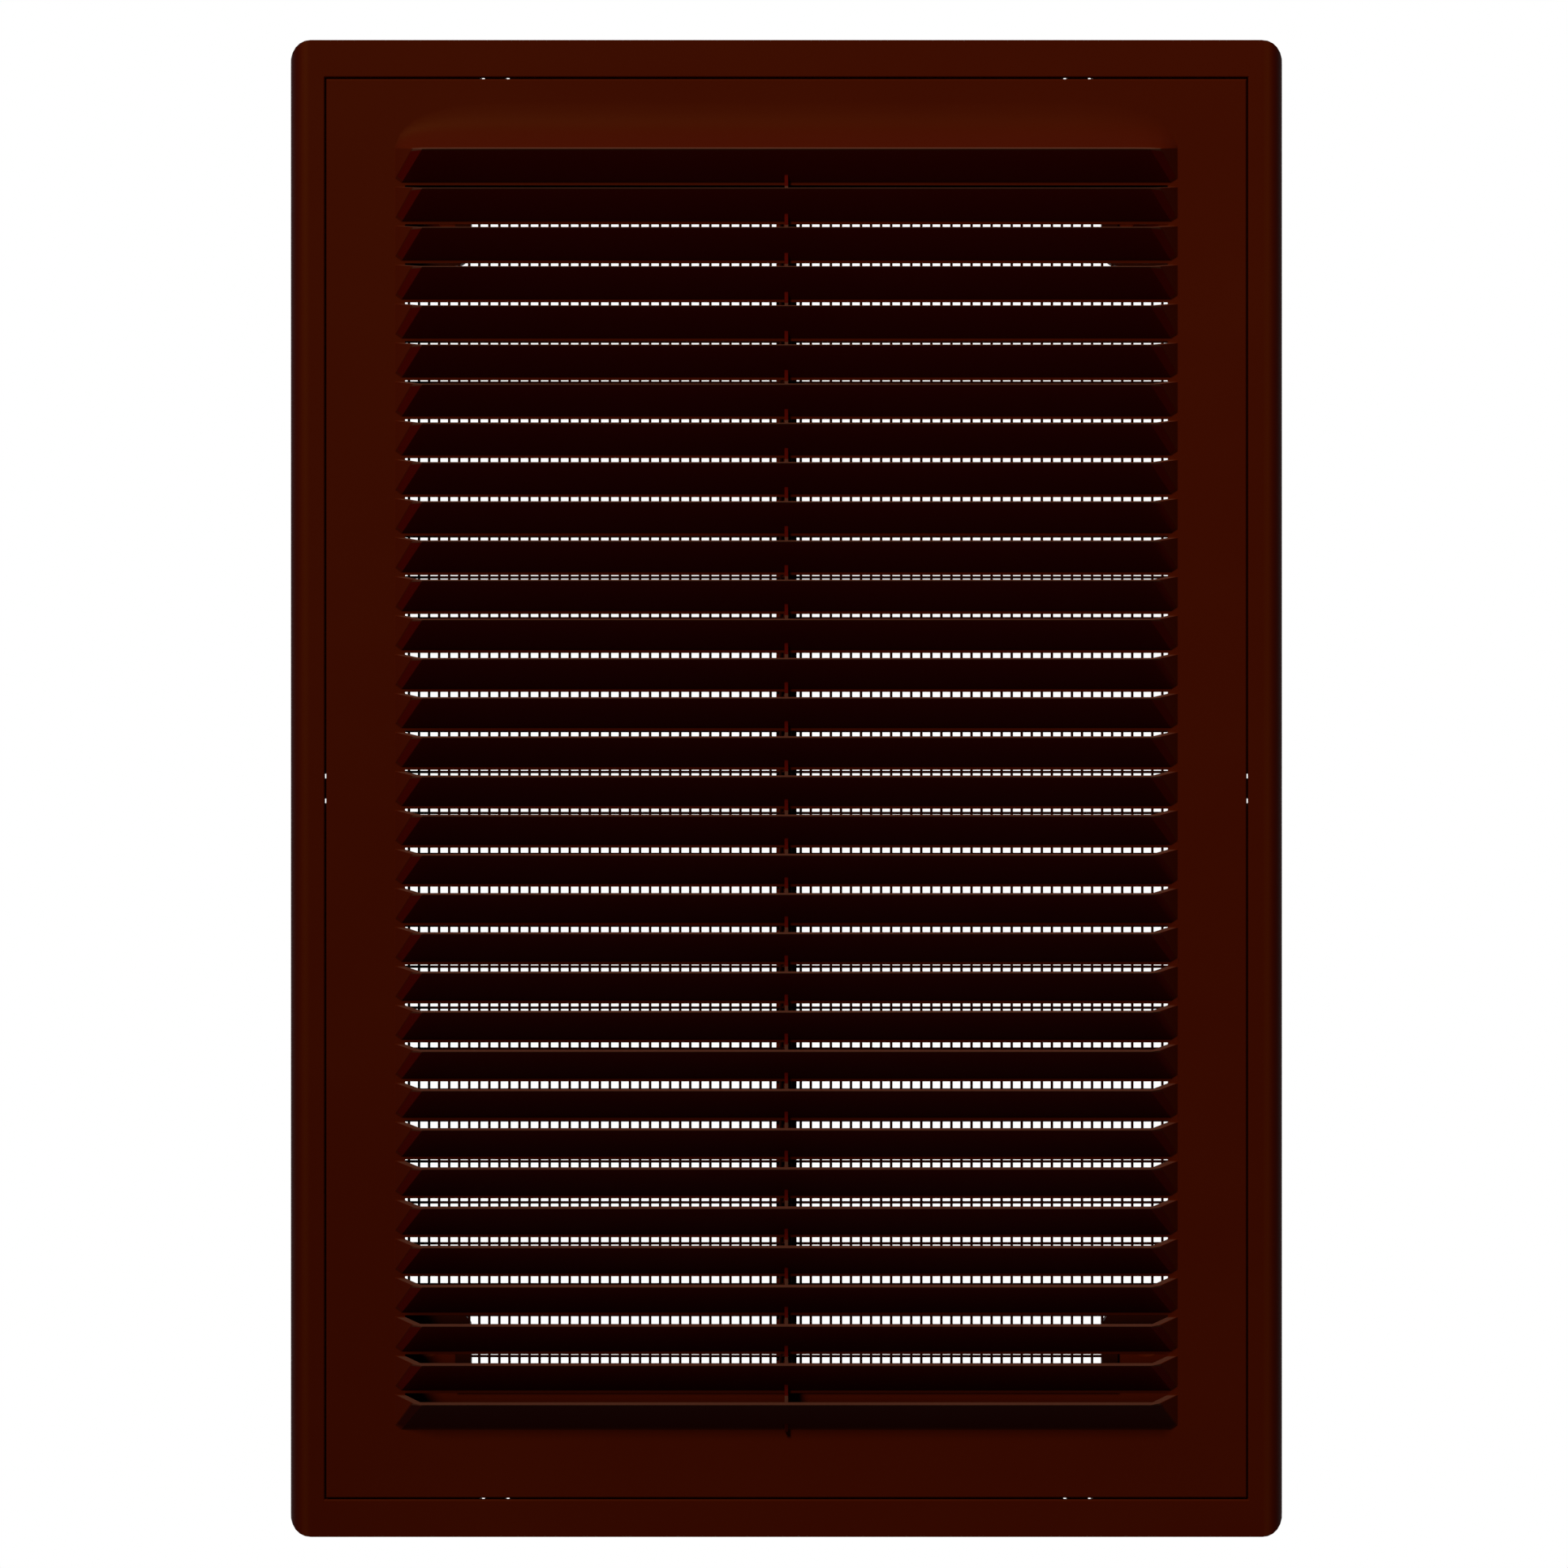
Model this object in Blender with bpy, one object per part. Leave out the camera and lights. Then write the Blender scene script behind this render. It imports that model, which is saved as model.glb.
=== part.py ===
"""Wall ventilation grille: base frame, insect mesh and snap-in louvre panel.

Three plastic mouldings. The base frame is screwed to the wall around the duct, the mesh lies on
the frame's floor, and the louvre panel snaps into the frame in front of it.

The frame of reference has its origin at the centre of the wall face, +X to the right, +Z up and
the grille facing -Y. Depths below are measured from the wall, and "proud" is in front of the
panel's flat face.
"""

from math import atan, cos, pi, sin, sqrt

import bmesh
import bpy
from mathutils import Matrix, Vector

MM = 0.001

# Base frame, outside
WIDTH = 199.5 * MM
HEIGHT = 300.0 * MM
FRAME_DEPTH = 11.0 * MM
CORNER_RADIUS = 4.45 * MM
SIDE_ROLL = 3.6 * MM
CORNER_STEPS = 6

# Base frame, walls
RING_X = 7.2 * MM
RING_Z = 7.5 * MM
FACE_THICKNESS = 2.0 * MM
OUTER_WALL = 2.0 * MM
INNER_WALL = 1.5 * MM
MOUTH_CHAMFER = 0.2 * MM
FLOOR_SETBACK = 3.5 * MM
FLOOR_THICKNESS = 1.5 * MM

# Air window in the floor
WINDOW_MARGIN_X = 14.55 * MM
WINDOW_MARGIN_Z = 24.5 * MM
TAB_X = 14.4 * MM
TAB_Z = 12.7 * MM
TAB_RADIUS = 3.6 * MM
COLLAR_LEDGE = 1.0 * MM
COLLAR_WALL = 1.5 * MM
MULLION_FLANGE = 4.1 * MM
MULLION_RIB = 2.5 * MM

# Wall screws through the corner tabs
SCREW_INSET_X = 5.4 * MM
SCREW_INSET_Z = 7.3 * MM
SCREW_HOLE = 4.5 * MM
SCREW_HEAD = 8.0 * MM
COUNTERSINK = 1.2 * MM
BOSS_DIAMETER = 9.0 * MM
ROUND_SIDES = 20

# Snap tongues
TONGUE_WIDTH = 4.1 * MM
TONGUE_SLIT = 0.9 * MM
TONGUE_THICKNESS = 1.3 * MM
TONGUE_RELIEF = 0.15 * MM
TONGUE_END = 3.9 * MM
SLIT_LAND = 1.0 * MM
TONGUE_OFFSET = 58.58 * MM
BARB_HEIGHT = 1.0 * MM
BARB_TIP = 0.4 * MM
BARB_FRONT_RAMP = 0.9 * MM
BARB_REAR_RAMP = 0.8 * MM
BARB_DEPTH = 7.4 * MM

# Louvre panel
FIT_GAP = 0.3 * MM
PANEL_SHEET = 1.6 * MM
PANEL_SKIRT = 1.5 * MM
PANEL_CHAMFER = 0.25 * MM
CATCH_WIDTH = 5.2 * MM
CATCH_CLEARANCE = 0.4 * MM

# Louvre hoods
HOOD_MARGIN_X = 14.15 * MM
HOOD_MARGIN_BOTTOM = 14.06 * MM
HOOD_PITCH = 7.806 * MM
HOOD_PROUD = 6.04 * MM
HOOD_DROP = 5.87 * MM
HOOD_END_RUN = 4.7 * MM
HOOD_WALL = 1.27 * MM
HOOD_END_WALL = 1.6 * MM
HOOD_END_BAND = 1.1 * MM
MOUTH_HEIGHT = 1.39 * MM
MOUTH_STEP = 0.3 * MM
MOUTH_DRAFT = 0.19

# Closed ramp over the top hood
RAMP_MARGIN = 1.0 * MM
RAMP_RUN = 14.28 * MM
RAMP_CURVE = 4.2
RAMP_CORNER = 20.0 * MM
RAMP_END_RISE = 2.8 * MM
RAMP_LAND = 0.03 * MM
RAMP_WALL = 1.75 * MM
RAMP_ROWS = 12
RAMP_END_COLUMNS = 4
RAMP_CORNER_COLUMNS = 5

# Centre web that ties the hoods together
WEB_THICKNESS = 0.7 * MM
WEB_PROUD = 1.4 * MM
WEB_CLEARANCE = 0.4 * MM

# Insect mesh
MESH_THICKNESS = 0.8 * MM
MESH_RIM = 3.2 * MM
MESH_BAR = 0.41 * MM
MESH_PITCH_X = 12.16 * MM
MESH_PITCH_Z = 12.41 * MM
PEG_DIAMETER = 1.4 * MM
PEG_HOLE = 2.0 * MM
PEG_RISE = 0.5 * MM
PEG_SPACING_X = 31.0 * MM
PEG_SPACING_Z = 49.0 * MM
PEG_SIDES = 8

# How far a tool runs past the wall that it cuts, or a rib into the wall that carries it
OVERCUT = 1.0 * MM
ROOT = 0.5 * MM

# Points closer than WELD are one point; faces that turn less than FLAT_ANGLE (radians) are one face
WELD = 0.001 * MM
FLAT_ANGLE = 0.001

# Places worked out from the sizes
FRONT = -FRAME_DEPTH
FLOOR_BACK = -FLOOR_SETBACK
FLOOR_FRONT = FLOOR_BACK - FLOOR_THICKNESS
OPEN_X = WIDTH / 2 - RING_X
OPEN_Z = HEIGHT / 2 - RING_Z
PANEL_X = OPEN_X - FIT_GAP
PANEL_Z = OPEN_Z - FIT_GAP
PANEL_BACK = FLOOR_FRONT - FIT_GAP
WINDOW_X = OPEN_X - WINDOW_MARGIN_X
WINDOW_Z = OPEN_Z - WINDOW_MARGIN_Z
MESH_BACK = FLOOR_FRONT - FIT_GAP
MESH_FRONT = MESH_BACK - MESH_THICKNESS
HOOD_END = OPEN_X - HOOD_MARGIN_X
RAMP_FOOT = OPEN_Z - RAMP_MARGIN
FIRST_LIP = RAMP_FOOT - RAMP_RUN
HOOD_SPAN = FIRST_LIP - HOOD_DROP + OPEN_Z - HOOD_MARGIN_BOTTOM
HOOD_COUNT = 1 + round(HOOD_SPAN / HOOD_PITCH)
PEG_LINE = MESH_RIM / 2


def clear_scene():
    for item in list(bpy.data.objects):
        bpy.data.objects.remove(item)


def plastic(name, colour, roughness):
    material = bpy.data.materials.new(name)
    material.use_nodes = True
    shader = material.node_tree.nodes["Principled BSDF"]
    shader.inputs["Base Color"].default_value = (*colour, 1.0)
    shader.inputs["Roughness"].default_value = roughness
    shader.inputs["Metallic"].default_value = 0.0
    return material


def make_object(name, bm):
    bmesh.ops.recalc_face_normals(bm, faces=bm.faces)
    mesh = bpy.data.meshes.new(name)
    bm.to_mesh(mesh)
    bm.free()
    item = bpy.data.objects.new(name, mesh)
    bpy.context.scene.collection.objects.link(item)
    return item


def combine(target, tool, operation):
    """Unite with, or cut by, a tool object, which is used up."""
    modifier = target.modifiers.new("shape", "BOOLEAN")
    modifier.operation = operation
    modifier.solver = "EXACT"
    modifier.object = tool
    bpy.context.view_layer.update()
    depsgraph = bpy.context.evaluated_depsgraph_get()
    shaped = bpy.data.meshes.new_from_object(target.evaluated_get(depsgraph))
    target.modifiers.clear()
    target.data = shaped
    bpy.data.objects.remove(tool)
    weld(target)


def weld(item):
    """Close the seams that a cut leaves and merge flat neighbouring faces."""
    bm = bmesh.new()
    bm.from_mesh(item.data)
    bmesh.ops.remove_doubles(bm, verts=bm.verts, dist=WELD)
    bmesh.ops.dissolve_degenerate(bm, edges=bm.edges, dist=WELD)
    bmesh.ops.dissolve_limit(bm, angle_limit=FLAT_ANGLE, verts=bm.verts, edges=bm.edges)
    bm.to_mesh(item.data)
    bm.free()


def loft(bm, rings):
    """Close a skin over rings of points, with the first and last ring as end faces."""
    rows = [[bm.verts.new(point) for point in ring] for ring in rings]
    count = len(rows[0])
    for row, following in zip(rows, rows[1:]):
        for index in range(count):
            after = (index + 1) % count
            bm.faces.new((row[index], row[after], following[after], following[index]))
    bm.faces.new(rows[0])
    bm.faces.new(reversed(rows[-1]))


def box(bm, low, high):
    centre = (Vector(low) + Vector(high)) / 2
    size = Vector(high) - Vector(low)
    place = Matrix.Translation(centre) @ Matrix.Diagonal((*size, 1.0))
    return bmesh.ops.create_cube(bm, size=1.0, matrix=place)["verts"]


def rod(bm, centre, back, front, diameter, sides, front_diameter=None):
    """A round bar along Y, or a cone where its front diameter differs."""
    place = Matrix.Translation((centre[0], (back + front) / 2, centre[1])) @ Matrix.Rotation(pi / 2, 4, "X")
    bmesh.ops.create_cone(
        bm,
        cap_ends=True,
        segments=sides,
        radius1=diameter / 2,
        radius2=(front_diameter or diameter) / 2,
        depth=back - front,
        matrix=place,
    )


def rectangle(half_x, half_z, y):
    return [(sx * half_x, y, sz * half_z) for sx, sz in ((1, 1), (-1, 1), (-1, -1), (1, -1))]


def rounded_rectangle(half_x, half_z, radius, y):
    points = []
    for corner, (sx, sz) in enumerate(((1, 1), (-1, 1), (-1, -1), (1, -1))):
        for step in range(CORNER_STEPS + 1):
            angle = (corner + step / CORNER_STEPS) * pi / 2
            x = sx * (half_x - radius) + radius * cos(angle)
            z = sz * (half_z - radius) + radius * sin(angle)
            points.append((x, y, z))
    return points


def mirrored(points):
    """The same points in the other three quarters of the front view, as one closed outline."""
    left = [(-x, z) for x, z in reversed(points)]
    upper = points + left
    return upper + [(x, -z) for x, z in reversed(upper)]


# Base frame


def frame_block():
    """The outer block: round corners in front view, and front edges rolled back along both sides."""
    bm = bmesh.new()
    outline = rounded_rectangle(WIDTH / 2, HEIGHT / 2, CORNER_RADIUS, 0.0)
    loft(bm, [outline, [(x, FRONT, z) for x, y, z in outline]])
    columns = [CORNER_RADIUS * (1 - cos(step / CORNER_STEPS * pi / 2)) for step in range(1, CORNER_STEPS + 1)]
    for side in (-1, 1):
        for column in columns:
            bmesh.ops.bisect_plane(
                bm,
                geom=bm.verts[:] + bm.edges[:] + bm.faces[:],
                dist=WELD / 10,
                plane_co=(side * (WIDTH / 2 - column), 0, 0),
                plane_no=(1, 0, 0),
            )
    for vertex in bm.verts:
        if vertex.co.y < FRONT / 2:
            inward = max(0.0, abs(vertex.co.x) - (WIDTH / 2 - SIDE_ROLL))
            vertex.co.y += SIDE_ROLL - sqrt(max(0.0, SIDE_ROLL**2 - inward**2))
    return make_object("base_frame", bm)


def front_pocket():
    bm = bmesh.new()
    loft(
        bm,
        [
            rectangle(OPEN_X, OPEN_Z, FLOOR_FRONT),
            rectangle(OPEN_X, OPEN_Z, FRONT + MOUTH_CHAMFER),
            rectangle(OPEN_X + MOUTH_CHAMFER + OVERCUT, OPEN_Z + MOUTH_CHAMFER + OVERCUT, FRONT - OVERCUT),
        ],
    )
    return make_object("front_pocket", bm)


def rear_channel():
    """Hollows the frame from behind: a deep channel behind the face, a shallow step behind the floor."""
    wall_x = WIDTH / 2 - OUTER_WALL
    wall_z = HEIGHT / 2 - OUTER_WALL
    radius = CORNER_RADIUS - OUTER_WALL
    channel = FRONT + FACE_THICKNESS
    inner_x = OPEN_X + INNER_WALL
    inner_z = OPEN_Z + INNER_WALL
    collar_x = WINDOW_X + COLLAR_LEDGE + COLLAR_WALL
    collar_z = WINDOW_Z + COLLAR_LEDGE + COLLAR_WALL
    corner = INNER_WALL / 2
    rings = [
        rounded_rectangle(wall_x, wall_z, radius, OVERCUT),
        rounded_rectangle(wall_x, wall_z, radius, channel),
        rounded_rectangle(inner_x, inner_z, corner, channel),
        rounded_rectangle(inner_x, inner_z, corner, FLOOR_BACK),
        rounded_rectangle(collar_x, collar_z, corner, FLOOR_BACK),
        rounded_rectangle(collar_x, collar_z, corner, OVERCUT),
    ]
    bm = bmesh.new()
    loft(bm, rings + rings[:1])
    caps = [face for face in bm.faces if len(face.verts) > 4]
    bmesh.ops.delete(bm, geom=caps, context="FACES_ONLY")
    bmesh.ops.remove_doubles(bm, verts=bm.verts, dist=WELD)
    return make_object("rear_channel", bm)


def window_quarter():
    """Front-view outline of the window's upper right quarter, stepped round the screw tab."""
    centre_x = WINDOW_X - TAB_X + TAB_RADIUS
    centre_z = WINDOW_Z - TAB_Z + TAB_RADIUS
    arc = []
    for step in range(CORNER_STEPS + 1):
        angle = pi * 1.5 - step / CORNER_STEPS * pi / 2
        arc.append((centre_x + TAB_RADIUS * cos(angle), centre_z + TAB_RADIUS * sin(angle)))
    return [(WINDOW_X, WINDOW_Z - TAB_Z), *arc, (WINDOW_X - TAB_X, WINDOW_Z)]


def windows():
    """Air openings on both sides of the mullion, wider behind the floor to leave a ledge."""
    bm = bmesh.new()
    outline = mirrored(window_quarter())
    loft(bm, [[(x, y, z) for x, z in outline] for y in (FLOOR_BACK + ROOT, FLOOR_FRONT - OVERCUT)])
    floor_cut = make_object("window_through", bm)
    bm = bmesh.new()
    ledge_x = WINDOW_X + COLLAR_LEDGE
    ledge_z = WINDOW_Z + COLLAR_LEDGE
    loft(bm, [rectangle(ledge_x, ledge_z, OVERCUT), rectangle(ledge_x, ledge_z, FLOOR_BACK)])
    rear_cut = make_object("window_rear", bm)
    for tool, half in ((floor_cut, MULLION_FLANGE / 2), (rear_cut, MULLION_RIB / 2)):
        bm = bmesh.new()
        box(bm, (-half, -FRAME_DEPTH, -HEIGHT), (half, FRAME_DEPTH, HEIGHT))
        combine(tool, make_object("mullion", bm), "DIFFERENCE")
    return floor_cut, rear_cut


def screw_places():
    across = WINDOW_X - SCREW_INSET_X
    along = WINDOW_Z - SCREW_INSET_Z
    return [(sx * across, sz * along) for sx in (-1, 1) for sz in (-1, 1)]


def peg_places():
    side = WINDOW_X + PEG_LINE
    end = WINDOW_Z + PEG_LINE
    places = [(sx * side, row * PEG_SPACING_Z) for sx in (-1, 1) for row in (-2, -1, 0, 1, 2)]
    places += [(sx * PEG_SPACING_X, sz * end) for sx in (-1, 1) for sz in (-1, 1)]
    return places


def screw_bosses():
    bm = bmesh.new()
    for place in screw_places():
        rod(bm, place, 0.0, FLOOR_BACK - ROOT, BOSS_DIAMETER, ROUND_SIDES)
    return make_object("bosses", bm)


def screw_holes():
    bm = bmesh.new()
    for place in screw_places():
        rod(bm, place, OVERCUT, FLOOR_FRONT + COUNTERSINK / 2, SCREW_HOLE, ROUND_SIDES)
    straight = make_object("screw_holes", bm)
    bm = bmesh.new()
    flare = (SCREW_HEAD - SCREW_HOLE) / COUNTERSINK
    for place in screw_places():
        head = SCREW_HEAD + flare * OVERCUT
        rod(bm, place, FLOOR_FRONT + COUNTERSINK, FLOOR_FRONT - OVERCUT, SCREW_HOLE, ROUND_SIDES, head)
    return straight, make_object("countersinks", bm)


def mesh_pegs():
    bm = bmesh.new()
    for place in peg_places():
        rod(bm, place, FLOOR_FRONT + ROOT, MESH_FRONT - PEG_RISE, PEG_DIAMETER, PEG_SIDES)
    return make_object("pegs", bm)


def latch_frames():
    """Turns and places a latch drawn on the top edge, at x = 0, onto each of the six edges' spots."""
    frames = []
    for turn, edge, offsets in (
        (0, OPEN_Z, (-TONGUE_OFFSET, TONGUE_OFFSET)),
        (90, OPEN_X, (0.0,)),
        (180, OPEN_Z, (-TONGUE_OFFSET, TONGUE_OFFSET)),
        (270, OPEN_X, (0.0,)),
    ):
        for offset in offsets:
            frames.append(Matrix.Rotation(turn * pi / 180, 4, "Y") @ Matrix.Translation((offset, 0, edge)))
    return frames


def latch_pockets():
    """Slots on both sides of each tongue, cut through the inner wall and the floor's edge."""
    bm = bmesh.new()
    half = TONGUE_WIDTH / 2 + TONGUE_SLIT
    for frame in latch_frames():
        verts = box(bm, (-half, FRONT + SLIT_LAND, -INNER_WALL), (half, FLOOR_BACK + ROOT, INNER_WALL + ROOT))
        bmesh.ops.transform(bm, matrix=frame, verts=verts)
    return make_object("latch_pockets", bm)


def tongues():
    """Snap tongues hanging from the frame's face, each with a barb that faces the panel."""
    near = TONGUE_RELIEF
    far = TONGUE_RELIEF + TONGUE_THICKNESS
    tip = near - BARB_HEIGHT
    root = FRONT + SLIT_LAND - ROOT
    end = -TONGUE_END
    middle = -BARB_DEPTH
    section = [
        (far, root),
        (far, end),
        (near, end),
        (near, middle + BARB_TIP / 2 + BARB_REAR_RAMP),
        (tip, middle + BARB_TIP / 2),
        (tip, middle - BARB_TIP / 2),
        (near, middle - BARB_TIP / 2 - BARB_FRONT_RAMP),
        (near, root),
    ]
    half = TONGUE_WIDTH / 2
    bm = bmesh.new()
    for frame in latch_frames():
        loft(bm, [[frame @ Vector((x, y, out)) for out, y in section] for x in (-half, half)])
    return make_object("tongues", bm)


def base_frame():
    frame = frame_block()
    combine(frame, front_pocket(), "DIFFERENCE")
    combine(frame, rear_channel(), "DIFFERENCE")
    for tool in windows():
        combine(frame, tool, "DIFFERENCE")
    combine(frame, screw_bosses(), "UNION")
    for tool in screw_holes():
        combine(frame, tool, "DIFFERENCE")
    combine(frame, latch_pockets(), "DIFFERENCE")
    combine(frame, tongues(), "UNION")
    combine(frame, mesh_pegs(), "UNION")
    frame.data.materials.append(plastic("brown_frame_plastic", (0.040, 0.0045, 0.0005), 0.38))
    return frame


# Louvre panel


def panel_tray():
    """Flat sheet with a skirt turned back all round."""
    bm = bmesh.new()
    box(bm, (-PANEL_X, FRONT, -PANEL_Z), (PANEL_X, PANEL_BACK, PANEL_Z))
    back = max(bm.faces, key=lambda face: face.calc_center_median().y)
    bmesh.ops.inset_region(bm, faces=[back], thickness=PANEL_SKIRT)
    pocket = bmesh.ops.extrude_face_region(bm, geom=[back])["geom"]
    bmesh.ops.delete(bm, geom=[back], context="FACES_ONLY")
    floor = [item for item in pocket if isinstance(item, bmesh.types.BMVert)]
    bmesh.ops.translate(bm, vec=(0, FRONT + PANEL_SHEET - PANEL_BACK, 0), verts=floor)
    edges = [edge for edge in bm.edges if all(abs(vertex.co.y - FRONT) < WELD for vertex in edge.verts)]
    bmesh.ops.bevel(bm, geom=edges, offset=PANEL_CHAMFER, segments=1, profile=0.5, affect="EDGES")
    return make_object("louvre_panel", bm)


def end_half(proud):
    """Half length of a hood at a given height in front of the panel: its ends slope in."""
    return HOOD_END - proud * HOOD_END_RUN / HOOD_PROUD


def hood_bar(bm, section, inset):
    """A bar along X with sloping ends. Its section is given as (proud, level) points."""
    left = [(inset - end_half(proud), FRONT - proud, level) for proud, level in section]
    right = [(end_half(proud) - inset, FRONT - proud, level) for proud, level in section]
    loft(bm, [left, right])


def lip_level(index):
    return FIRST_LIP - index * HOOD_PITCH


def blade_shift():
    """The hood's wall measured straight back from its sloping underside."""
    return HOOD_WALL * sqrt(HOOD_PROUD**2 + HOOD_DROP**2) / HOOD_DROP


def end_shift():
    """The hood's wall measured along X at its sloping ends."""
    return HOOD_END_WALL * sqrt(HOOD_PROUD**2 + HOOD_END_RUN**2) / HOOD_PROUD


def hoods():
    """The solid wedges of all hoods, with a flat band between the underside and each end."""
    bm = bmesh.new()
    for index in range(HOOD_COUNT):
        lip = lip_level(index)
        top = lip + MOUTH_HEIGHT - MOUTH_STEP
        foot = lip - HOOD_DROP
        buried = -PANEL_SHEET / 2
        hood_bar(bm, [(buried, top), (0.0, top), (HOOD_PROUD, lip), (0.0, foot), (buried, foot)], 0.0)
    creases = []
    for edge in bm.edges:
        low, high = sorted(edge.verts, key=lambda vertex: vertex.co.z)
        leans = abs(high.co.x) < abs(low.co.x) - HOOD_END_RUN / 2
        if leans and high.co.y < low.co.y - HOOD_PROUD / 2:
            creases.append(edge)
    bmesh.ops.bevel(
        bm,
        geom=creases,
        offset=HOOD_END_BAND,
        segments=1,
        profile=0.5,
        affect="EDGES",
    )
    return make_object("hoods", bm)


def inner_proud(index, level):
    """How proud the inside of a hood's sloping blade stands at a given level."""
    foot = lip_level(index) - HOOD_DROP
    return (level - foot) * HOOD_PROUD / HOOD_DROP - blade_shift()


def hood_hollow(bm, index, top):
    """The air way of one hood, up to the given level and out through the sheet behind."""
    elbow = -PANEL_SHEET - FIT_GAP
    back = elbow - OVERCUT
    low = lip_level(index) - HOOD_DROP + (elbow + blade_shift()) * HOOD_DROP / HOOD_PROUD
    crest = inner_proud(index, top)
    section = [(back, low), (elbow, low), (crest, top), (0.0, top), (back, top - back * MOUTH_DRAFT)]
    hood_bar(bm, section, end_shift())


def ramp_proud(run):
    """How far the ramp stands proud at a distance below its foot: it steepens towards the lip."""
    return HOOD_PROUD * (run / RAMP_RUN) ** RAMP_CURVE


def ramp_run(proud):
    """The distance below the foot at which the ramp stands this far proud."""
    return RAMP_RUN * (proud / HOOD_PROUD) ** (1 / RAMP_CURVE)


def ramp_slope(run):
    return atan(RAMP_CURVE * ramp_proud(run) / run)


def lip_end():
    """The top lip in plan, as (x, proud), from the band that cuts its corner down to the sheet."""
    crease = Vector((HOOD_END_RUN, -HOOD_PROUD, -HOOD_DROP))
    end = Vector((HOOD_END_RUN, -HOOD_PROUD, MOUTH_HEIGHT - MOUTH_STEP))
    corner = HOOD_END - HOOD_END_RUN
    along_lip = HOOD_END_BAND / sin(crease.angle(Vector((1, 0, 0))))
    along_end = HOOD_END_BAND / sin(crease.angle(end)) / end.length
    last_x, last_proud = corner + along_end * end.x, HOOD_PROUD + along_end * end.y
    points = [(corner - along_lip, HOOD_PROUD), (last_x, last_proud)]
    for column in range(1, RAMP_END_COLUMNS + 1):
        part = column / RAMP_END_COLUMNS
        points.append((last_x + (HOOD_END - last_x) * part, last_proud * (1 - part)))
    return points


def ramp():
    """The filled ramp that closes the top hood, fading to nothing at both ends."""
    ends = lip_end()
    columns = RAMP_CORNER_COLUMNS
    shoulder = [(HOOD_END - RAMP_CORNER * (1 - step / columns), HOOD_PROUD) for step in range(columns)]
    half = [place for place in shoulder if place[0] < ends[0][0] - ROOT] + ends
    stations = [(-x, lip) for x, lip in reversed(half)] + half
    bm = bmesh.new()
    rings = []
    for x, lip in stations:
        across = max(0.0, (abs(x) - HOOD_END + RAMP_CORNER) / RAMP_CORNER)
        fade = lip / HOOD_PROUD
        bottom = FIRST_LIP + RAMP_LAND + (MOUTH_HEIGHT - MOUTH_STEP) * (1 - fade)
        rounding = sqrt(max(0.0, 1 - across**2))
        foot = FIRST_LIP + RAMP_END_RISE + (RAMP_RUN - RAMP_END_RISE) * rounding
        ring = []
        for row in range(RAMP_ROWS + 1):
            part = row / RAMP_ROWS
            proud = ramp_proud(part * RAMP_RUN) * fade - RAMP_LAND
            ring.append((x, FRONT - proud, foot + (bottom - foot) * part))
        ring.append((x, FRONT - lip + ROOT, bottom - ROOT / 2))
        ring.append((x, FRONT + PANEL_SHEET / 2, bottom - ROOT / 2))
        ring.append((x, FRONT + PANEL_SHEET / 2, foot))
        rings.append(ring)
    loft(bm, rings)
    return make_object("ramp", bm)


def ramp_hollow():
    """The space behind the ramp, one wall thickness inside it and clear of its rounded ends."""
    back = -PANEL_SHEET - FIT_GAP - OVERCUT
    start = FIRST_LIP - ROOT
    section = [(back, start), (inner_proud(0, start) - FIT_GAP, start)]
    for row in range(RAMP_ROWS, 0, -1):
        run = RAMP_RUN * row / RAMP_ROWS
        section.append((ramp_proud(run) - RAMP_WALL / cos(ramp_slope(run)), RAMP_FOOT - run))
    section.append((back, section[-1][1]))
    bm = bmesh.new()
    hood_bar(bm, section, RAMP_CORNER)
    return make_object("ramp_hollow", bm)


def hood_hollows():
    bm = bmesh.new()
    hood_hollow(bm, 0, FIRST_LIP)
    for index in range(1, HOOD_COUNT):
        hood_hollow(bm, index, lip_level(index) + MOUTH_HEIGHT)
    return make_object("hood_hollows", bm)


def centre_web():
    """One thin rib down the middle, through every hood, short of the mesh behind it."""
    top = RAMP_FOOT - ramp_run(WEB_PROUD + RAMP_WALL / 2)
    bottom = lip_level(HOOD_COUNT - 1) - HOOD_DROP - FIT_GAP
    bm = bmesh.new()
    half = WEB_THICKNESS / 2
    box(bm, (-half, FRONT - WEB_PROUD, bottom), (half, MESH_FRONT - WEB_CLEARANCE, top))
    return make_object("web", bm)


def catches():
    """Windows through the skirt that the frame's barbs snap into."""
    bm = bmesh.new()
    half = CATCH_WIDTH / 2
    front = -BARB_DEPTH - BARB_TIP / 2 - BARB_FRONT_RAMP - CATCH_CLEARANCE / 2
    back = -BARB_DEPTH + BARB_TIP / 2 + BARB_REAR_RAMP
    for frame in latch_frames():
        verts = box(bm, (-half, front, -FIT_GAP - PANEL_SKIRT - ROOT), (half, back, ROOT - FIT_GAP))
        bmesh.ops.transform(bm, matrix=frame, verts=verts)
    return make_object("catches", bm)


def louvre_panel():
    panel = panel_tray()
    combine(panel, hoods(), "UNION")
    combine(panel, ramp(), "UNION")
    combine(panel, hood_hollows(), "DIFFERENCE")
    combine(panel, ramp_hollow(), "DIFFERENCE")
    combine(panel, centre_web(), "UNION")
    combine(panel, catches(), "DIFFERENCE")
    panel.data.materials.append(plastic("brown_panel_plastic", (0.040, 0.0045, 0.0005), 0.38))
    return panel


# Insect mesh


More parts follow.
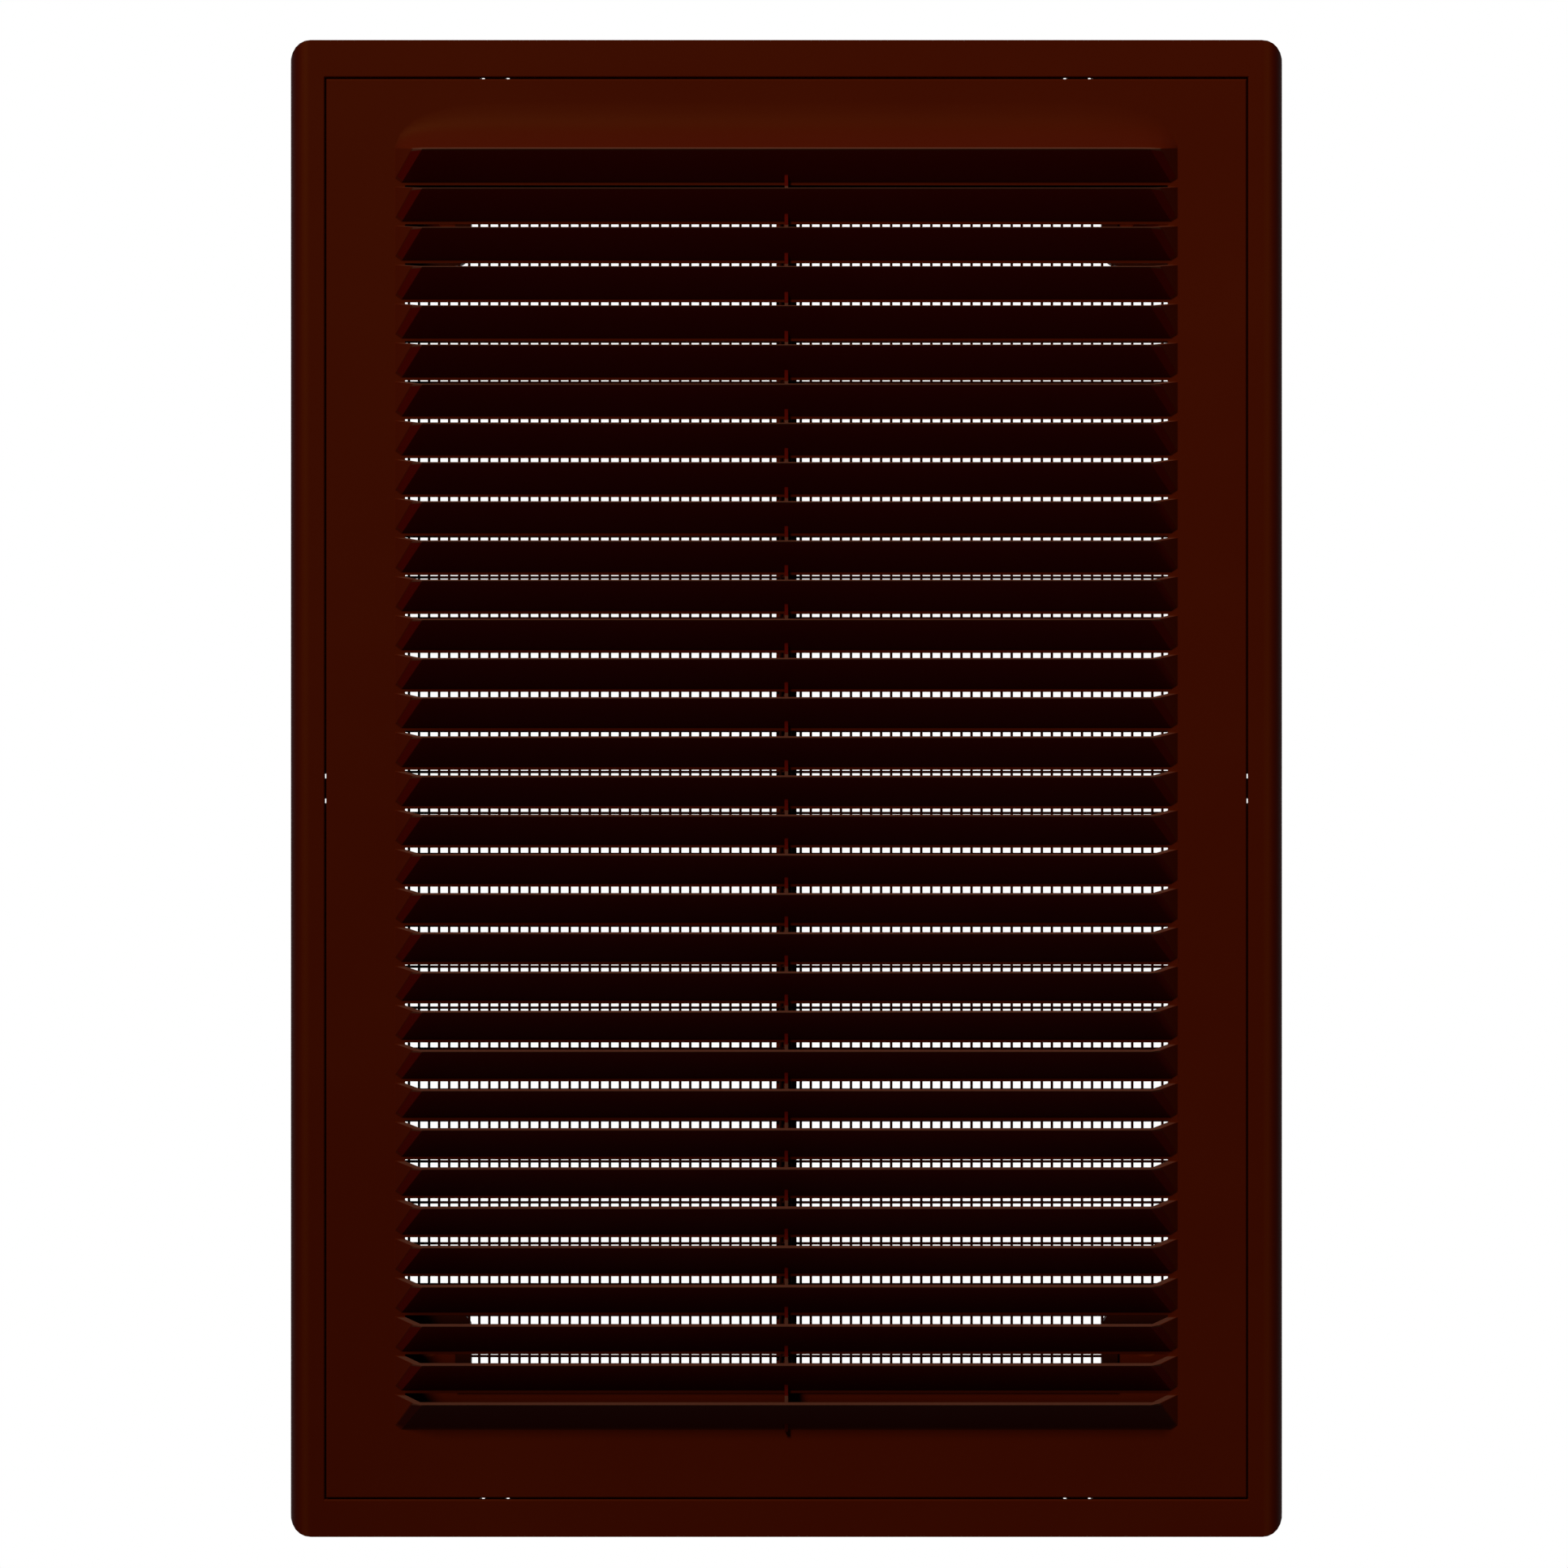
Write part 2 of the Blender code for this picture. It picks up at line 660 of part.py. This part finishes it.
def bar_edges(limit, pitch):
    """Both edges of every bar across one direction, evenly spaced about the middle."""
    count = int((limit - pitch / 4) / pitch)
    middles = [index * pitch for index in range(-count, count + 1)]
    return [(middle - MESH_BAR / 2, middle + MESH_BAR / 2) for middle in middles]


def tab_corners():
    """Rounds the rim's corners at the screw tabs as the window's are rounded."""
    first, *arc, last = window_quarter()
    corner = (last[0] - FIT_GAP, first[1] - FIT_GAP)
    bm = bmesh.new()
    for sx, sz in ((1, 1), (-1, 1), (-1, -1), (1, -1)):
        outline = [(sx * x, sz * z) for x, z in (corner, *arc)]
        loft(bm, [[(x, y, z) for x, z in outline] for y in (MESH_BACK + OVERCUT, MESH_FRONT - OVERCUT)])
    return make_object("tab_corners", bm)


def insect_mesh():
    """A flat moulded net with a rim that follows the window and is holed for the frame's pegs."""
    tab_x = WINDOW_X - TAB_X
    tab_z = WINDOW_Z - TAB_Z
    bars_x = bar_edges(WINDOW_X, MESH_PITCH_X)
    bars_z = bar_edges(WINDOW_Z, MESH_PITCH_Z)
    xs = {edge for bar in bars_x for edge in bar}
    zs = {edge for bar in bars_z for edge in bar}
    for side in (-1, 1):
        xs.update(side * value for value in (WINDOW_X, WINDOW_X + MESH_RIM, tab_x, tab_x + MESH_RIM))
        zs.update(side * value for value in (WINDOW_Z, WINDOW_Z + MESH_RIM, tab_z, tab_z + MESH_RIM))
    xs = sorted(xs)
    zs = sorted(zs)

    def solid(x, z):
        ax, az = abs(x), abs(z)
        if ax > tab_x + MESH_RIM and az > tab_z + MESH_RIM:
            return False
        if ax > WINDOW_X or az > WINDOW_Z or (ax > tab_x and az > tab_z):
            return True
        on_bar_x = any(low < x < high for low, high in bars_x)
        return on_bar_x or any(low < z < high for low, high in bars_z)

    bm = bmesh.new()
    corners = [[bm.verts.new((x, MESH_BACK, z)) for z in zs] for x in xs]
    for i in range(len(xs) - 1):
        for j in range(len(zs) - 1):
            if solid((xs[i] + xs[i + 1]) / 2, (zs[j] + zs[j + 1]) / 2):
                bm.faces.new((corners[i][j], corners[i + 1][j], corners[i + 1][j + 1], corners[i][j + 1]))
    bmesh.ops.delete(bm, geom=[vertex for vertex in bm.verts if not vertex.link_faces], context="VERTS")
    front = bmesh.ops.extrude_face_region(bm, geom=bm.faces[:], use_keep_orig=True)["geom"]
    lifted = [item for item in front if isinstance(item, bmesh.types.BMVert)]
    bmesh.ops.translate(bm, vec=(0, -MESH_THICKNESS, 0), verts=lifted)
    net = make_object("insect_mesh", bm)
    combine(net, tab_corners(), "DIFFERENCE")
    bm = bmesh.new()
    for place in peg_places():
        rod(bm, place, MESH_BACK + OVERCUT, MESH_FRONT - OVERCUT, PEG_HOLE, PEG_SIDES)
    combine(net, make_object("peg_holes", bm), "DIFFERENCE")
    net.data.materials.append(plastic("dark_mesh_plastic", (0.006, 0.002, 0.001), 0.5))
    return net


clear_scene()
frame = base_frame()
for piece in (louvre_panel(), insect_mesh()):
    piece.parent = frame
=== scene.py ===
"""Looks of a brown plastic wall ventilation grille: snap-in louvre panel, base frame and insect net."""

from math import cos, radians, sin, sqrt

import bmesh
import bpy
from mathutils import Matrix, Vector


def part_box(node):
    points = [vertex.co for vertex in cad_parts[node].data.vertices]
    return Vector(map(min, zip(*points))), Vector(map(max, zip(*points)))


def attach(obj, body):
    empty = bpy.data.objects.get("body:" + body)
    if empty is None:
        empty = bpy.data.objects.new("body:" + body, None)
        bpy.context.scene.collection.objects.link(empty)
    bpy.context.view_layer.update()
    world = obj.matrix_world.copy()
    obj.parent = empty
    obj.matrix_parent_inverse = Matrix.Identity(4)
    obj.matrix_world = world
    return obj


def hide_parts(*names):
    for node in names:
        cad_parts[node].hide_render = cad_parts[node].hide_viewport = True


MM = 0.001

# Camera, from the photograph's perspective; shifts are shares of the picture's width
CAMERA_DISTANCE = 801.0 * MM
LENS = 90.52
SENSOR = 36.0
PICTURE = 1932
AXIS_RIGHT = 3.0 / PICTURE
AXIS_DOWN = 5.5 / PICTURE
CLIP_START = 10 * MM

# Light from the dim room in front of the grille, and from the white backdrop behind it
ROOM = 0.02
BACKDROP = 1.0
BACKDROP_START = 0.25
BACKDROP_EDGE = 0.5
WHITE = (1.0, 1.0, 1.0, 1.0)

# One lamp in front, above and to the left, which grazes the grille and shines past it to the right
LAMP_PLACE = (-0.57, -1.39, 1.28)
LAMP_TARGET = (4.0, -0.5, 0.63)
LAMP_SIZE = 0.6
LAMP_POWER = 90.0

# Pale floor behind and below
FLOOR_PLACE = (0.1, 0.64, -0.5)
FLOOR_SIZE = 0.55
FLOOR_COLOUR = (0.85, 0.85, 0.85, 1.0)

# Brown plastic of the frame and the panel, and the duller, darker one of the net
BROWN = (0.038, 0.0029, 0.0003)
WARM_BROWN = (0.041, 0.0036, 0.0004)
FRAME_ROUGHNESS = 0.52
PANEL_ROUGHNESS = 0.50
NET_BROWN = (0.012, 0.0012, 0.0004)
NET_WARM_BROWN = (0.015, 0.002, 0.0006)
NET_ROUGHNESS = 0.5
NET_GRAIN = 0.4

# Marks in the plastic: soft clouds, flow along the width, fine grit and round pits
CLOUD_SCALE = 26.0
FLOW_STRETCH = (9.0, 60.0, 60.0)
GRIT_SCALE = 2600.0
PIT_SCALE = 900.0
CLOUD_SHARE = 0.6
FLOW_SHARE = 0.4
TINT_START = 0.32
TINT_CONTRAST = 2.6
CLOUD_GLOSS = 0.10
FLOW_GLOSS = 0.06
GRIT_GLOSS = 0.08
GRIT_HEIGHT = 0.7
PIT_HEIGHT = 0.3
BUMP_STRENGTH = 0.22
BUMP_DEPTH = 0.03 * MM

# The plastic's sheen is faint, and warm as along the photographed ramp and lips
SHEEN_LEVEL = 0.024
SHEEN = (1.0, 0.42, 0.06, 1.0)

# Where the hoods are: out from the wall, up from the middle and to the sides
FACE = 11.0 * MM
BLADE_ROOT = 11.2 * MM
BLADE_ROOT_END = 11.6 * MM
END_FOOT = 78.4 * MM
END_SLOPE = 6.04 / 4.7
END_EDGE = 0.05 * MM
END_EDGE_IN = 0.35 * MM
LIP_PITCH = 7.806 * MM
FIRST_LIP = 127.22 * MM
RAMP_EDGE = 127.0 * MM
RAMP_EDGE_END = 127.2 * MM

# Painted light: the hoods' blades are painted a brighter red as a painted glow of light through their thin
# walls, and the lowest one is painted darker as painted shade, since none reaches it
PAINTED_GLOW = (0.052, 0.0012, 0.0003)
PAINTED_LOWEST_SHADE = (0.014, 0.0004, 0.0002)
LOWEST_LIP = -122.2 * MM
LOWEST_LIP_END = -121.4 * MM

# Painted highlight: the hoods' lips, which stand furthest out, are painted paler than the rest, in place of
# the highlight along them
PAINTED_LIP_HIGHLIGHT = (0.064, 0.019, 0.010)
HIGHLIGHT_GRIT = 0.5
HIGHLIGHT_EVEN = 0.7
MOUTH_TOP = 1.1 * MM
LIP_FADE = 1.25 * MM
LIP_FADE_END = 1.40 * MM
LIP_HIGHLIGHT_TOP = 127.5 * MM
LIP_HIGHLIGHT_TOP_END = 127.6 * MM

# The frame's rolled sides carry a painted highlight, paler along the ridge where they begin, and painted
# shade, deep red on the roll outside
PAINTED_RIDGE_HIGHLIGHT = (0.045, 0.0050, 0.0004)
RIDGE_START = 95.4 * MM
RIDGE_TOP = 96.4 * MM
RIDGE_END = 97.4 * MM
PAINTED_ROLL_SHADE = (0.016, 0.0003, 0.0003)
ROLL_START = 97.0 * MM
ROLL_END = 99.3 * MM

# Moulded edges
CREASE = radians(28)
EDGE_RADIUS = 0.10 * MM
EDGE_SEGMENTS = 3
FLAT_WEIGHT = 90

# Merging the CAD solids' triangles into whole faces
WELD = 0.002 * MM
TINY = 0.07 * MM
FLAT = radians(0.06)
ANY_SHAPE = radians(180)

# Insect net: strands as moulded, welded where they cross, in a rim that is holed for the pegs
STRAND = 0.53 * MM
STRAND_DEPTH = 0.5 * MM
STRAND_SIDES = 8
STRAND_LAP = STRAND_DEPTH / 5
STRAND_CREASE = radians(50)
NET_PITCH_X = 2.026 * MM
NET_PITCH_Z = 2.067 * MM
NET_SHIFT_X = -0.15 * MM
NET_SHIFT_Z = 0.22 * MM
RIM = 3.2 * MM
RIM_OVERLAP = RIM / 8
TAB_X = 14.4 * MM
TAB_Z = 12.7 * MM
TAB_RADIUS = 3.6 * MM
TAB_STEPS = 8
PEG_HOLE = 2.0 * MM
PEG_SIDES = 16
PEG_SPACING_X = 31.0 * MM
PEG_SPACING_Z = 49.0 * MM
PEG_ROWS = (-2, -1, 0, 1, 2)
BOTH_SIDES = (-1, 1)


class Value:
    """A number in a shader, so that maths on it reads as an expression."""

    def __init__(self, shader, socket):
        self.shader = shader
        self.socket = socket

    def maths(self, operation, first, second):
        return self.shader.add("ShaderNodeMath", {"operation": operation}, {0: first, 1: second})

    def __add__(self, other):
        return self.maths("ADD", self, other)

    def __radd__(self, other):
        return self.maths("ADD", other, self)

    def __sub__(self, other):
        return self.maths("SUBTRACT", self, other)

    def __rsub__(self, other):
        return self.maths("SUBTRACT", other, self)

    def __mul__(self, other):
        return self.maths("MULTIPLY", self, other)

    def __rmul__(self, other):
        return self.maths("MULTIPLY", other, self)

    def __mod__(self, other):
        return self.maths("FLOORED_MODULO", self, other)

    def __abs__(self):
        return self.maths("ABSOLUTE", self, 0.0)

    def larger(self, other):
        return self.maths("MAXIMUM", self, other)


class Shader:
    """One node tree, to which every node is added in the same way."""

    def __init__(self, owner):
        owner.use_nodes = True
        self.tree = owner.node_tree
        self.tree.nodes.clear()

    def add(self, kind, settings, sockets, output=0):
        node = self.tree.nodes.new(kind)
        for name, setting in settings.items():
            setattr(node, name, setting)
        for name, value in sockets.items():
            if isinstance(value, Value):
                self.tree.links.new(value.socket, node.inputs[name])
            else:
                node.inputs[name].default_value = value
        return Value(self, node.outputs[output]) if len(node.outputs) else None

    def axis(self, vector, name):
        return self.add("ShaderNodeSeparateXYZ", {}, {"Vector": vector}, name)

    def mixed(self, factor, first, second):
        """Goes from the first colour to the second while the factor goes from 0 to 1."""
        return self.add("ShaderNodeMix", {"data_type": "RGBA"}, {0: factor, 6: first, 7: second}, 2)

    def rise(self, value, start, end):
        """Goes from 0 to 1 while the value goes from start to end."""
        return self.add("ShaderNodeMapRange", {}, {"Value": value, "From Min": start, "From Max": end})


def rgba(colour):
    return (*colour, 1.0)


# Materials


def rolled_sides(shader, place, tint, grit):
    """The frame's colour: the tint of its plastic, with a painted highlight along the ridge and painted
    shade on the roll along both sides.
    """
    aside = abs(shader.axis(place, "X"))
    # Painted highlight along the ridge where the roll begins, then painted shade on the roll outside it
    ridge = shader.rise(aside, RIDGE_START, RIDGE_TOP) * (1.0 - shader.rise(aside, RIDGE_TOP, RIDGE_END))
    with_painted_highlight = shader.mixed(ridge, tint, rgba(PAINTED_RIDGE_HIGHLIGHT))
    return shader.mixed(shader.rise(aside, ROLL_START, ROLL_END), with_painted_highlight, rgba(PAINTED_ROLL_SHADE))


def lit_hoods(shader, place, tint, grit):
    """The panel's colour: the tint of its plastic, with a painted glow on the blades, painted shade on the
    lowest one and a painted highlight on the lips.
    """
    across, inward, up = [shader.axis(place, name) for name in "XYZ"]
    out = inward * -1.0
    proud = shader.rise(out, BLADE_ROOT, BLADE_ROOT_END)
    from_end = (END_FOOT - abs(across)) * END_SLOPE - (out - FACE)
    inside_end = shader.rise(from_end, END_EDGE, END_EDGE_IN)
    below_ramp = 1.0 - shader.rise(up, RAMP_EDGE, RAMP_EDGE_END)
    # Painted glow on the blades, and painted shade on the lowest hood
    painted_light = shader.mixed(shader.rise(up, LOWEST_LIP, LOWEST_LIP_END), rgba(PAINTED_LOWEST_SHADE), rgba(PAINTED_GLOW))
    painted_blades = shader.mixed(proud * below_ramp * inside_end, tint, painted_light)
    below_mouth = (FIRST_LIP + MOUTH_TOP - up) % LIP_PITCH
    lip = 1.0 - shader.rise(below_mouth, LIP_FADE, LIP_FADE_END)
    # Painted highlight along the lips, made uneven by the grit
    lip_highlight = proud * lip * inside_end * (1.0 - shader.rise(up, LIP_HIGHLIGHT_TOP, LIP_HIGHLIGHT_TOP_END))
    return shader.mixed(lip_highlight * (grit * HIGHLIGHT_GRIT + HIGHLIGHT_EVEN), painted_blades, rgba(PAINTED_LIP_HIGHLIGHT))


def even(shader, place, tint, grit):
    """The net's colour: the tint of its plastic alone."""
    return tint


def moulded_plastic(name, colour, warm_colour, roughness, shading, grain=1.0):
    """Satin moulded plastic: fine spark-eroded grain, soft flow marks and uneven gloss."""
    material = bpy.data.materials.new(name)
    shader = Shader(material)
    place = shader.add("ShaderNodeTexCoord", {}, {}, "Object")
    clouds = shader.add("ShaderNodeTexNoise", {}, {"Vector": place, "Scale": CLOUD_SCALE, "Detail": 3.0})
    stretched = shader.add("ShaderNodeMapping", {}, {"Vector": place, "Scale": FLOW_STRETCH})
    flow = shader.add("ShaderNodeTexNoise", {}, {"Vector": stretched, "Scale": 1.0, "Detail": 2.0})
    grit = shader.add("ShaderNodeTexNoise", {}, {"Vector": place, "Scale": GRIT_SCALE, "Detail": 2.0})
    pits = shader.add("ShaderNodeTexVoronoi", {}, {"Vector": place, "Scale": PIT_SCALE}, "Distance")
    warmth = (clouds * CLOUD_SHARE + flow * FLOW_SHARE - TINT_START) * TINT_CONTRAST
    tint = shader.mixed(warmth, rgba(colour), rgba(warm_colour))
    unevenness = (clouds - 0.5) * CLOUD_GLOSS + (flow - 0.5) * FLOW_GLOSS + (grit - 0.5) * GRIT_GLOSS
    height = grit * (GRIT_HEIGHT * grain) + pits * (PIT_HEIGHT * grain)
    bump = shader.add("ShaderNodeBump", {}, {
        "Strength": BUMP_STRENGTH,
        "Distance": BUMP_DEPTH,
        "Height": height,
    })
    surface = shader.add("ShaderNodeBsdfPrincipled", {}, {
        "Base Color": shading(shader, place, tint, grit),
        "Roughness": unevenness + roughness,
        "Specular IOR Level": SHEEN_LEVEL,
        "Specular Tint": SHEEN,
        "Normal": bump,
    })
    shader.add("ShaderNodeOutputMaterial", {}, {"Surface": surface})
    return material


# Pieces


def placed(name, data):
    item = bpy.data.objects.new(name, data)
    bpy.context.scene.collection.objects.link(item)
    return item


def mesh_object(name, bm):
    mesh = bpy.data.meshes.new(name)
    bm.to_mesh(mesh)
    bm.free()
    return placed(name, mesh)


def piece(name, bm, body, slot, *nodes):
    """A finished piece that stands for CAD nodes, rides on their body and takes their finish."""
    item = mesh_object(name, bm)
    item.data.materials.append(FINISHES[slot])
    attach(item, body)
    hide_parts(*nodes)
    return item


def is_sliver(face):
    """Says whether a face is a long strip no wider than a tiny edge."""
    length = max(edge.calc_length() for edge in face.edges)
    return face.calc_area() < length * TINY


def merged(node):
    """The solid of a CAD node with its triangles merged into whole faces and its slivers taken up."""
    bm = bmesh.new()
    bm.from_mesh(node.data)
    bmesh.ops.remove_doubles(bm, verts=bm.verts, dist=WELD)
    bmesh.ops.dissolve_degenerate(bm, dist=TINY, edges=bm.edges)
    bmesh.ops.join_triangles(
        bm, faces=bm.faces, angle_face_threshold=FLAT, angle_shape_threshold=ANY_SHAPE
    )
    slivers = [face for face in bm.faces if is_sliver(face)]
    longest = {max(face.edges, key=lambda edge: edge.calc_length()) for face in slivers}
    bmesh.ops.dissolve_edges(bm, edges=list(longest), use_verts=False)
    return bm


def soften(item):
    """Rounds every moulded edge and shades the rest flat or smooth as it is."""
    item.data.shade_smooth()
    edges = item.modifiers.new("soft_edges", "BEVEL")
    edges.width = EDGE_RADIUS
    edges.segments = EDGE_SEGMENTS
    edges.limit_method = "ANGLE"
    edges.angle_limit = CREASE
    edges.miter_outer = "MITER_ARC"
    edges.use_clamp_overlap = False
    flats = item.modifiers.new("flat_faces_stay_flat", "WEIGHTED_NORMAL")
    flats.weight = FLAT_WEIGHT
    flats.keep_sharp = True


def frame_moulding(nodes):
    soften(piece("frame_moulding", merged(nodes["base_frame"]), "base", "frame_plastic", "base_frame"))


def panel_moulding(nodes):
    soften(piece("panel_moulding", merged(nodes["louvre_panel"]), "panel", "panel_plastic", "louvre_panel"))


def strand(bm, start, end):
    """A round plastic thread between two points, slightly flattened."""
    along = end - start
    turned = along.to_track_quat("Z", "Y").to_matrix().to_4x4()
    thread = bmesh.ops.create_cone(
        bm,
        cap_ends=True,
        segments=STRAND_SIDES,
        radius1=STRAND / 2,
        radius2=STRAND / 2,
        depth=along.length,
        matrix=Matrix.Translation((start + end) / 2) @ turned,
    )
    bmesh.ops.transform(
        bm,
        matrix=Matrix.Diagonal((1.0, STRAND_DEPTH / STRAND, 1.0)).to_4x4(),
        space=Matrix.Translation(-start),
        verts=thread["verts"],
    )


def strand_places(limit, pitch, shift):
    """Where the strands lie inside a limit; none lies along the rim's edge."""
    first = int(-limit / pitch) - 2
    last = int(limit / pitch) + 2
    places = [shift + (index + 0.5) * pitch for index in range(first, last)]
    return [place for place in places if abs(place) < limit - pitch / 4]


def tab_rise(across):
    """How far the rounded corner of a screw tab falls back, at a distance from the tab's side."""
    return TAB_RADIUS - sqrt(max(0.0, TAB_RADIUS**2 - max(0.0, TAB_RADIUS - across) ** 2))


def strand_reach(place, half, tab, far_half, far_tab):
    """How far a strand runs from the middle: up to the rim, or to the screw tab that it meets."""
    beside_tab = abs(place) - half + tab
    return far_half + RIM_OVERLAP - (far_tab - tab_rise(beside_tab) if beside_tab > 0 else 0)


def net_outline(half_x, half_z, radius):
    """A rectangle with its corners stepped in round the screw tabs, whose own corners have a radius."""
    side = half_x - TAB_X
    end = half_z - TAB_Z
    quarter = [(half_x, end)]
    for step in range(TAB_STEPS + 1 if radius else 1):
        turn = radians(90) * step / TAB_STEPS
        quarter.append((side + radius * (1 - sin(turn)), end + radius * (1 - cos(turn))))
    quarter.append((side, half_z))
    upper = quarter + [(-x, z) for x, z in reversed(quarter)]
    return upper + [(x, -z) for x, z in reversed(upper)]


def net_rim(bm, half_x, half_z, back, front):
    """The flat rim, which follows the air window and has a hole for each peg."""
    outlines = [
        net_outline(half_x, half_z, TAB_RADIUS),
        net_outline(half_x + RIM, half_z + RIM, 0.0),
    ]
    edges = []
    for outline in outlines:
        corners = [bm.verts.new((x, back, z)) for x, z in outline]
        edges += [bm.edges.new(pair) for pair in zip(corners, corners[1:] + corners[:1])]
    side = half_x + RIM / 2
    end = half_z + RIM / 2
    pegs = [(sx * side, row * PEG_SPACING_Z) for sx in BOTH_SIDES for row in PEG_ROWS]
    pegs += [(sx * PEG_SPACING_X, sz * end) for sx in BOTH_SIDES for sz in BOTH_SIDES]
    for x, z in pegs:
        turned = Matrix.Translation((x, back, z)) @ Matrix.Rotation(radians(90), 4, "X")
        ring = bmesh.ops.create_circle(bm, segments=PEG_SIDES, radius=PEG_HOLE / 2, matrix=turned)
        edges += list({edge for vertex in ring["verts"] for edge in vertex.link_edges})
    bmesh.ops.triangle_fill(bm, use_beauty=True, use_dissolve=False, edges=edges)
    lifted = bmesh.ops.extrude_face_region(bm, geom=bm.faces[:], use_keep_orig=True)["geom"]
    verts = [item for item in lifted if isinstance(item, bmesh.types.BMVert)]
    bmesh.ops.translate(bm, vec=(0, front - back, 0), verts=verts)
    bmesh.ops.recalc_face_normals(bm, faces=bm.faces)


def insect_net():
    """The fine net: its rim, the upright strands and the level ones."""
    low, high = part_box("insect_mesh")
    half_x = high.x - RIM
    half_z = high.z - RIM
    bm = bmesh.new()
    net_rim(bm, half_x, half_z, high.y, low.y)
    middle = (low.y + high.y) / 2
    for x in strand_places(half_x, NET_PITCH_X, NET_SHIFT_X):
        reach = strand_reach(x, half_x, TAB_X, half_z, TAB_Z)
        y = middle - STRAND_LAP
        strand(bm, Vector((x, y, -reach)), Vector((x, y, reach)))
    for z in strand_places(half_z, NET_PITCH_Z, NET_SHIFT_Z):
        reach = strand_reach(z, half_z, TAB_Z, half_x, TAB_X)
        y = middle + STRAND_LAP
        strand(bm, Vector((-reach, y, z)), Vector((reach, y, z)))
    item = piece("insect_net", bm, "base", "mesh_plastic", "insect_mesh")
    item.data.shade_smooth()
    item.data.set_sharp_from_angle(angle=STRAND_CREASE)


# Studio


def floor():
    bm = bmesh.new()
    bmesh.ops.create_grid(
        bm, x_segments=1, y_segments=1, size=FLOOR_SIZE, matrix=Matrix.Translation(FLOOR_PLACE)
    )
    item = mesh_object("floor", bm)
    material = bpy.data.materials.new("pale_floor")
    shader = Shader(material)
    surface = shader.add("ShaderNodeBsdfDiffuse", {}, {"Color": FLOOR_COLOUR})
    shader.add("ShaderNodeOutputMaterial", {}, {"Surface": surface})
    item.data.materials.append(material)


def key_light():
    light = bpy.data.lights.new("key_light", "AREA")
    light.shape = "DISK"
    light.size = LAMP_SIZE
    light.energy = LAMP_POWER
    item = placed("key_light", light)
    item.location = LAMP_PLACE
    towards = Vector(LAMP_TARGET) - Vector(LAMP_PLACE)
    item.rotation_euler = towards.to_track_quat("-Z", "Y").to_euler()


def studio():
    """A world that is white where it is seen or mirrored, and lights the object from behind."""
    scene = bpy.context.scene
    scene.view_settings.view_transform = "Standard"
    scene.world = bpy.data.worlds.new("white_studio")
    shader = Shader(scene.world)
    rays = ("Is Camera Ray", "Is Glossy Ray", "Is Transmission Ray")
    seen, mirrored, through = [shader.add("ShaderNodeLightPath", {}, {}, ray) for ray in rays]
    shown = seen.larger(mirrored).larger(through)
    direction = shader.add("ShaderNodeTexCoord", {}, {}, "Generated")
    around = shader.add("ShaderNodeMapRange", {}, {
        "Value": shader.axis(direction, "Y"),
        "From Min": BACKDROP_START,
        "From Max": BACKDROP_EDGE,
        "To Min": ROOM,
        "To Max": BACKDROP,
    })
    strength = shown * (1.0 - around) + around
    light = shader.add("ShaderNodeBackground", {}, {"Color": WHITE, "Strength": strength})
    shader.add("ShaderNodeOutputWorld", {}, {"Surface": light})


def camera():
    view = bpy.data.cameras.new("camera")
    view.clip_start = CLIP_START
    view.lens = LENS
    view.sensor_width = SENSOR
    view.shift_x = -AXIS_RIGHT
    view.shift_y = AXIS_DOWN
    item = placed("camera", view)
    item.location = (0, -CAMERA_DISTANCE, 0)
    item.rotation_euler = (radians(90), 0, 0)
    bpy.context.scene.camera = item


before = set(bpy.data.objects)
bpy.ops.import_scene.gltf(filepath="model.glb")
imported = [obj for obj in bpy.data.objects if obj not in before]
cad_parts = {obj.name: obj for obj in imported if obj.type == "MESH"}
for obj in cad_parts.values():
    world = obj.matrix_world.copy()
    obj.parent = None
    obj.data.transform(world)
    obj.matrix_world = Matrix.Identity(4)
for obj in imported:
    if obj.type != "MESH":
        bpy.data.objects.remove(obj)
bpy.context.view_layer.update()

FINISHES = {
    "frame_plastic": moulded_plastic("frame_plastic", BROWN, WARM_BROWN, FRAME_ROUGHNESS, rolled_sides),
    "panel_plastic": moulded_plastic("panel_plastic", BROWN, WARM_BROWN, PANEL_ROUGHNESS, lit_hoods),
    "mesh_plastic": moulded_plastic(
        "mesh_plastic", NET_BROWN, NET_WARM_BROWN, NET_ROUGHNESS, even, NET_GRAIN
    ),
}

frame_moulding(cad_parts)
panel_moulding(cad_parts)
insect_net()
floor()
studio()
key_light()
camera()
